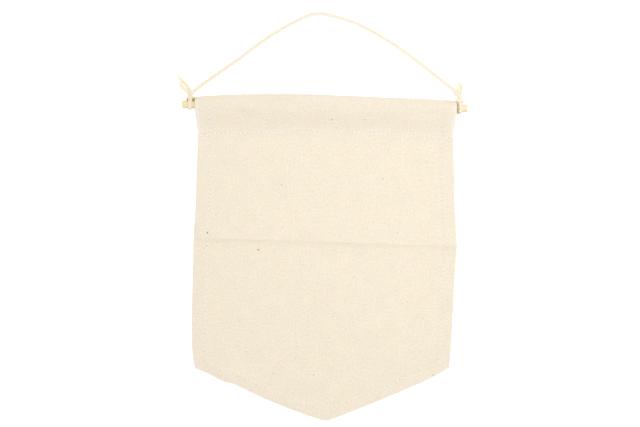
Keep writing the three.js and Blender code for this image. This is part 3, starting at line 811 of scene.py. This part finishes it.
# Middle line of the pocket's cloth at every column: over the dowel, round the fold, and back
def pocketMiddle(cloth, rod, seam, fold):
    half, radius = cloth["plain"] / 2, cloth["foldRadius"]
    reach = rod["y"] - seam
    crown = rod["z"] + rod["radius"] + cloth["pocketGap"]
    start = 3 * half
    shoulder = rod["radius"] + cloth["pocketGap"]
    foldY, foldZ = fold - half - radius, half + radius
    level = np.ones_like(seam)
    # Near the pocket's ends its wall runs straight into the fold
    tight = math.radians(60) * (1 - smooth(6.0, 7.2, fold - rod["y"]))
    rising = [(0.0, 0.0), (0.17, 0.05), (0.37, 0.28), (0.61, 0.63)]  # shares of reach and of height
    knots = [[seam + along * reach, (start + up * (crown - start)) * level] for along, up in rising]
    knots += [
        [(rod["y"] - 3.2) * level, (crown - 0.55) * level],
        [rod["y"] * level, crown * level],
        [(rod["y"] + 0.72 * shoulder) * level, (rod["z"] + 0.76 * shoulder) * level],
        [rod["y"] + 0.66 * (fold - rod["y"]) + 0.6, (rod["z"] + 0.2) * level],
        [foldY + radius * np.sin(tight), foldZ + radius * np.cos(tight)],
    ]
    line = throughKnots(np.array(knots), cloth["loopSteps"])
    for part in (0.17, 0.33, 0.5, 0.67, 0.83):
        bend = math.pi / 2 - tight - part * (math.pi - tight)
        line.append(np.array([foldY + radius * np.cos(bend), foldZ + radius * np.sin(bend)]))
    for part in np.linspace(0, 1, cloth["backSteps"]):
        line.append(np.array([foldY + (seam - foldY) * part, half * level]))
    return np.array(line)


# Painted light on the fold, brightest at its edge and towards both ends
def foldPaintedLight(x, fromFold):
    edge = 0.85 + 0.6 * smooth(55.0, 100.0, np.abs(x))
    return np.maximum(edge * (1 - smooth(0.2, 3.8, fromFold)), 0.34 * (1 - smooth(4.0, 11.0, fromFold)))


# Doubled cloth is painted darker, and this painted shade is least along the right half of the foot, where
# the hem faces the light more
def hemTint(x, y):
    return 1 - 0.5 * smooth(-10.0, 35.0, x) * smooth(-60.0, -75.0, y)


def clothColumns(width, steps):
    inner = np.arange(steps["sideEnd"], width - steps["sideEnd"], steps["spacing"])
    return np.concatenate([steps["side"], inner, width - np.array(steps["side"][::-1])]) / width


def between(low, high, count):
    return [low + (high - low) * t for t in np.linspace(0, 1, count)[1:-1]]


def panelRows(foot, crease, seam, steps):
    rows = [foot + step for step in steps["foot"]]
    rows += between(rows[-1], crease + steps["crease"][0], steps["lower"])
    rows += [crease + step for step in steps["crease"]]
    rows += between(rows[-1], seam + steps["seam"][0], steps["upper"])
    return np.array(rows + [seam + step for step in steps["seam"]])


# Front and back of the panel, from its foot up to the pocket's seam
def panelFaces(cloth, x, y, foot, seam, edge):
    under = lift(x, y, packingCrease)
    flap = cloth["flapExtra"] * smooth(-9.0, 0.0, y - seam)
    thick = cloth["plain"] + cloth["hemExtra"] * hemShare(x, y, y - foot) + flap
    waves = np.maximum(unevenness(x, y, clothWaves), -0.2)
    top = thick - stitchDip(x, y, y - seam) + softLines(x, y) + waves
    full = edgeFullness(edge)
    middle = under + top / 2
    front = np.stack([x, y, middle + top / 2 * full], axis=2)
    back = np.stack([x, y, np.maximum(middle - thick / 2 * full, under * 0.9)], axis=2)
    return front, back


# Outside and inside of the pocket, thicker at its hemmed ends
def pocketFaces(cloth, rod, x, y, z, seam, side, hem):
    front = (np.arange(len(y)) < cloth["frontSteps"])[:, None]
    z = z + np.where(front, cloth["hemRise"] * hem * (1 - smooth(0.0, 8.0, y - seam)), 0)
    dy, dz = np.gradient(y, axis=0), np.gradient(z, axis=0)
    dy[0], dz[0], dy[-1], dz[-1] = 1, 0, -1, 0
    norm = np.hypot(dy, dz)
    half = (cloth["plain"] + cloth["loopHemExtra"] * hem) / 2 * edgeFullness(side)
    ease = smooth(0.0, 6.0, y - seam) * smooth(0.0, 5.0, rod["y"] - 2.0 - y)
    soft = np.where(front, (softLines(x, y) + unevenness(x, y, clothWaves)) * ease, 0)
    soft = soft - np.where(front, stitchDip(x, y, np.where(front, y - seam, farAway)), 0) * 0.8
    outside = np.stack([x, y - dz / norm * half, np.maximum(z + dy / norm * half + soft, 0)], axis=2)
    inside = np.stack([x, y + dz / norm * half, z - dy / norm * half + soft * 0.6], axis=2)
    return outside, inside


def buildCloth(cloth, rod):
    share = clothColumns(cloth["width"], clothSteps)

    def place(y):
        return leftEdge(y) + (rightEdge(y) - leftEdge(y)) * share

    foot, crease = lowerEdge(place(cloth["cornerY"])), creaseY(place(0.0))
    seam, fold = seamLine(place(cloth["seamY"])), foldLine(place(rod["y"]))
    side = np.minimum(share, 1 - share)[None, :] * cloth["width"]
    y = panelRows(foot, crease, seam, clothSteps)
    x = np.array([place(row) for row in y])
    loopY, loopZ = pocketMiddle(cloth, rod, seam, fold).transpose(1, 0, 2)
    loopX = np.array([place(row) for row in loopY])
    loopHem = hemShare(loopX, cloth["hemLevel"], farAway)
    edge, loopEdge = np.minimum(side, y - foot), np.minimum(side, fold - loopY)
    # Shares for the material, first of the panel, then of the pocket
    layers = {"hemLayers": (hemShare(x, y, y - foot) * hemTint(x, y), loopHem),
              "pocketLayers": (smooth(-6.0, 2.0, y - seam), np.ones_like(loopX)),
              # rim is painted light along the edges and the fold; the edge fluff is pale fibre and painted
              # light
              "rim": (0.5 - 0.5 * smooth(0.2, 2.0, edge), foldPaintedLight(loopX, loopEdge)),
              "fluffAndPaintedLight": (0.35 - 0.35 * smooth(0.4, 1.3, edge), 1.0 - smooth(0.4, 1.3, loopEdge))}
    panel = panelFaces(cloth, x, y, foot, seam, edge)
    pocket = pocketFaces(cloth, rod, loopX, loopY, loopZ, seam, side, loopHem)
    return *panel, *pocket, {label: np.concatenate(shares) for label, shares in layers.items()}


# Faces of one closed sheet: its skin, the tunnel for the dowel, and both side edges
def clothFaces(panel, loop, columns):
    outer, total = 2 * panel + loop, 2 * (panel + loop)
    base = np.arange(columns - 1)[:, None] * total
    faces = []
    for first, count in ((0, outer), (outer, loop)):
        i = first + np.arange(count)[None, :]
        n = first + (np.arange(count)[None, :] + 1) % count
        quad = [base + i, base + total + i, base + total + n, base + n]
        quad = quad if first == 0 else quad[::-1]
        faces += np.stack(quad, axis=2).reshape(-1, 4).tolist()
    for start, flip in ((0, False), ((columns - 1) * total, True)):
        caps = [(i, i + 1, outer - 2 - i, outer - 1 - i) for i in range(panel - 1)]
        caps += [(panel + i, panel + i + 1, outer + i + 1, outer + i) for i in range(loop - 1)]
        caps.append((panel - 1, panel, outer, outer + loop - 1, panel + loop - 1, panel + loop))
        faces += [tuple(start + c for c in (reversed(cap) if flip else cap)) for cap in caps]
    return faces


# Distance up the cloth, counted back down again past the fold
def clothRun(front, outside):
    run = distances(np.concatenate([front, outside])) + front[0, :, 1]
    fold = int(np.argmax(outside[:, outside.shape[1] // 2, 1])) + len(front)
    return np.where(np.arange(len(run))[:, None] > fold, 2 * run[fold] - run, run)


def clothMesh(front, back, outside, inside, layers):
    panel, loop, columns = len(front), len(outside), front.shape[1]
    ring = np.concatenate([front, outside, back[::-1], inside])

    # What holds for front and outside holds for back and inside too
    def allRound(rows):
        return np.concatenate([rows, rows[:panel][::-1], rows[panel:]])

    points = ring.transpose(1, 0, 2).reshape(-1, 3)
    cut = np.stack([ring[:, :, 0], allRound(clothRun(front, outside))], axis=2)
    cut = cut.transpose(1, 0, 2).reshape(-1, 2)
    mesh = bpy.data.meshes.new("bannerCloth")
    mesh.from_pydata((points * mm).tolist(), [], clothFaces(panel, loop, columns))
    corner = np.empty(len(mesh.loops), np.int32)
    mesh.loops.foreach_get("vertex_index", corner)
    layer = mesh.uv_layers.new(name="cutMap")
    layer.data.foreach_set("uv", (cut[corner] * mm).ravel())
    for label, share in layers.items():
        mesh.attributes.new(label, "FLOAT", "POINT").data.foreach_set("value", allRound(share).T.ravel())
    shadeSmooth(mesh)
    return mesh


clothSheet = addPiece("canvasBanner", clothMesh(*buildCloth(bannerCloth, dowelRod)), canvas)
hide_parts("banner_cloth")
print("cloth made", len(clothSheet.data.polygons), "faces")

# Topstitching: white thread that lies on the cloth and goes down through it at each needle hole.
# The side rows run from and to a y, the foot's and the pocket's an x
topstitch = {"pitch": 3.5, "first": 0.4, "rise": 0.12, "sink": 0.4, "slack": 1.25, "sides": (119.0, -86.0),
             "rightEnd": -80.5, "foot": (-93.0, 95.0), "pocket": (-99.5, 101.5), "aboveSeam": 0.3,
             "points": 300, "seed": 21}
# Left hem, right hem, pointed hem, pocket:
# stitch length, thread radius, size of the needle hole's painted shade, how many slacker stitches it
# starts with
rowLooks = [(2.0, 0.225, 0.25, 0), (2.0, 0.24, 0.22, 0), (2.0, 0.21, 0.28, 0), (2.4, 0.29, 0.19, 14)]


surface = BVHTree.FromPolygons([vertex.co / mm for vertex in clothSheet.data.vertices],
                               [tuple(face.vertices) for face in clothSheet.data.polygons])


# Height of the cloth's top or under side, None past its edge
def onCloth(x, y, fromAbove=True):
    toward = -1.0 if fromAbove else 1.0
    spot = surface.ray_cast(Vector((x, y, -30.0 * toward)), Vector((0, 0, toward)))[0]
    return None if spot is None else spot.z


def sewnRows(sew):
    tall = np.linspace(*sew["sides"], sew["points"])
    left, right = (np.stack([row(tall), tall], axis=1) for row in (leftRow, rightRow))
    wide = np.linspace(*sew["foot"], sew["points"])
    foot = np.stack([wide, pointRow(wide)], axis=1)
    wide = np.linspace(*sew["pocket"], sew["points"])
    pocket = np.stack([wide, seamLine(wide) + sew["aboveSeam"]], axis=1)
    pocket[:, 1] -= 1.1 * smooth(-90.0, -92.0, wide)  # lower where it crosses the side hems
    pocket[:, 1] -= 0.8 * smooth(92.0, 94.0, wide)
    return [left, right[tall > sew["rightEnd"]], foot, pocket]


# One stitch, sunk at both ends, None where it would leave the cloth
def stitchLine(row, far, start, length, fromAbove, sew, chance):
    sign = 1.0 if fromAbove else -1.0
    line = []
    for t in (0.0, 0.15, 0.5, 0.85, 1.0):
        x = np.interp(start + t * length, far, row[:, 0]) + chance.uniform(-0.05, 0.05)
        y = np.interp(start + t * length, far, row[:, 1]) + chance.uniform(-0.05, 0.05)
        z = onCloth(x, y, fromAbove)
        if z is None:
            return None
        line.append((x, y, z + sign * (-sew["sink"] if t in (0.0, 1.0) else sew["rise"])))
    return np.array(line)


# Painted shade of the needle's hole: a dark disc a little past the stitch's end
def addHole(holes, line, radius, chance):
    x, y = line[-1][:2] + (line[-1][:2] - line[0][:2]) * 0.16
    z = onCloth(x, y)
    if z is not None:
        spot = np.array([(x, y, z - 0.25), (x, y, z + 0.02)])
        holes.addTube(spot, np.array([0.0, 0.2]), radius * chance.uniform(0.7, 1.35), 7)


def buildStitches(sew):
    thread, holes = TubeBundle(), TubeBundle()
    chance = random.Random(sew["seed"])
    for row, (stitchLength, threadRadius, holeRadius, slackCount) in zip(sewnRows(sew), rowLooks):
        far = distances(row)
        starts = np.arange(sew["first"], far[-1] - sew["pitch"], sew["pitch"])
        for fromAbove in (True, False):
            for index, start in enumerate(starts):
                slack = sew["slack"] if index < slackCount else 1.0
                start += chance.uniform(-0.12, 0.12) + (0.0 if fromAbove else sew["pitch"] / 2)
                length = stitchLength + chance.uniform(-0.2, 0.2)
                line = stitchLine(row, far, start, length, fromAbove, sew, chance)
                if line is None:
                    continue
                if fromAbove:
                    thread.addTube(line, np.linspace(0, length, 5), threadRadius * slack, 6)
                    addHole(holes, line, holeRadius * slack ** 2, chance)
                elif line[:, 2].min() < 0.05:
                    line[:, 2] = np.maximum(line[:, 2], 0.0)
                    thread.addTube(line, np.linspace(0, length, 5), threadRadius * 0.8, 6)
    return thread, holes


# Needle holes are small dark discs of painted shade
holeShade = plainMaterial("needleHoleShade", {"Base Color": (0.56, 0.485, 0.375, 1.0), "Roughness": 1.0})
threadBundle, holeBundle = buildStitches(topstitch)
stitches = threadBundle.piece("topstitching", yarns["sewingThread"], "canvas")
needleHoleShadeDiscs = holeBundle.piece("needleHoleShadeDiscs", holeShade, "canvas")
print("stitches made", len(threadBundle.faces))

# Seed flecks in the undyed cotton: x, y, length, direction in degrees
seedFlecks = [
    (-92.5, 18.5, 2.7, 75), (-51.5, 5.3, 2.3, 15), (5.6, 110.1, 1.7, 80), (-33.6, 57.4, 1.65, 30),
    (47.3, 63.6, 1.55, 80), (-93.0, 8.0, 1.5, 70), (59.7, 20.8, 1.1, 20), (40.5, 28.5, 1.15, 50),
    (5.8, -64.0, 0.95, 60), (76.7, 62.6, 1.0, 10), (-94.7, 5.7, 1.0, 20), (-93.2, 11.4, 1.1, 40),
    (41.4, 6.9, 0.95, 0), (26.9, -26.9, 1.0, 35), (8.5, -47.3, 1.15, 25), (-19.8, -71.9, 1.1, 45),
    (-66.9, -72.1, 0.95, 10), (-62.0, 78.1, 1.1, 40), (17.9, -33.8, 0.9, 15), (51.5, 86.1, 0.95, 25),
    (63.1, 106.4, 0.7, 65), (-64.8, 116.5, 1.05, 50), (-84.4, 11.4, 1.05, 5), (-12.0, 38.4, 0.9, 85),
    (-8.8, 52.6, 0.85, 30), (79.4, -74.4, 1.05, 50), (64.7, -55.3, 1.0, 70), (86.5, 95.7, 0.92, 20),
    (-41.6, -41.0, 0.9, 55), (-19.9, 0.8, 0.9, 10), (-5.9, -94.2, 1.3, 85), (82.0, 77.1, 0.9, 65),
    (89.6, -92.7, 1.5, 20), (-40.3, -102.2, 1.0, 70), (-38.0, -93.3, 0.95, 60), (7.9, -90.0, 0.9, 80),
    (66.9, -67.6, 0.85, 30), (-77.6, -8.4, 1.05, 35), (31.9, 110.7, 1.05, 70), (-32.4, 23.4, 1.0, 15),
    (80.6, -47.7, 1.1, 55), (98.5, 42.1, 0.9, 75), (89.6, -7.6, 0.9, 30), (64.4, -36.0, 0.9, 10),
    (-59.3, 112.6, 0.95, 40), (5.5, 107.2, 0.75, 75), (-38.4, -4.7, 0.85, 20), (-18.8, -33.2, 0.75, 60),
]
# A fleck's shape, as shares of its length, and how deep its middle lies in the cloth
fleckShape = {"long": 0.8, "wide": 0.24, "taper": np.array([0.3, 0.85, 1, 0.8, 0.3]), "flat": 0.4,
              "sunk": 0.02}


def buildFlecks(flecks, shape):
    bundle = TubeBundle()
    for x, y, length, direction in flecks:
        bend = math.radians(direction)
        line = []
        for t in (-0.5, -0.3, 0.0, 0.3, 0.5):
            px = x + math.cos(bend) * t * length * shape["long"]
            py = y + math.sin(bend) * t * length * shape["long"]
            z = onCloth(px, py)
            line.append((px, py, (0.0 if z is None else z) - shape["sunk"]))
        line = np.array(line)
        along = directions(line)
        side = unit(np.cross((0.0, 0.0, 1.0), along))
        bundle.addTube(line, np.linspace(0, length, 5), length * shape["wide"] * shape["taper"], 6,
                       frames=(side, np.cross(along, side)), flat=(1.0, shape["flat"]))
    return bundle


def seedHuskMaterial():
    material, sheet, shader = newMaterial("seedHusk")
    tone = sheet.noise(sheet.add("ShaderNodeTexCoord").outputs["Object"], 900.0)
    colour = sheet.mixColour(tone, (0.26, 0.21, 0.15, 1.0), (0.50, 0.41, 0.30, 1.0))
    sheet.fill(shader, {"Base Color": colour, "Roughness": 0.85})
    return material


flecks = buildFlecks(seedFlecks, fleckShape).piece("seedFlecks", seedHuskMaterial(), "canvas")
print("flecks made")

# Pale floor, even white light all round, and a soft lamp overhead, a little to the upper right
studio = {"floor": (0.86, 0.86, 0.86, 1.0), "floorGlow": 0.45, "floorSize": 6.0, "floorDrop": 0.0004,
          "white": (1.0, 1.0, 1.0, 1.0), "world": 0.755, "lampPower": 2.2,
          "lampPlace": (0.135, 0.14, 0.72), "lampSize": 0.4}


def floorMaterial(setup):
    return plainMaterial("paleFloor", {
        "Base Color": setup["floor"], "Roughness": 0.9, "Specular IOR Level": 0.0,
        "Emission Color": setup["white"], "Emission Strength": setup["floorGlow"]})


def addFloor(setup):
    shape = bmesh.new()
    bmesh.ops.create_grid(shape, x_segments=2, y_segments=2, size=setup["floorSize"])
    bmesh.ops.translate(shape, vec=(0.0, 0.0, -setup["floorDrop"]), verts=shape.verts)
    mesh = bpy.data.meshes.new("paleFloor")
    shape.to_mesh(mesh)
    shape.free()
    mesh.materials.append(floorMaterial(setup))
    ground = bpy.data.objects.new("paleFloor", mesh)
    scene.collection.objects.link(ground)


def addLight(setup):
    world = bpy.data.worlds.new("whiteStudio")
    world.use_nodes = True
    NodeSheet(world.node_tree).fill(world.node_tree.nodes["Background"],
                                    {"Color": setup["white"], "Strength": setup["world"]})
    scene.world = world
    data = bpy.data.lights.new("softLamp", "AREA")
    data.size = setup["lampSize"]
    data.energy = setup["lampPower"]
    lamp = bpy.data.objects.new("softLamp", data)
    lamp.location = setup["lampPlace"]
    scene.collection.objects.link(lamp)
    scene.view_settings.view_transform = "Standard"


addFloor(studio)
addLight(studio)
print("scene made")
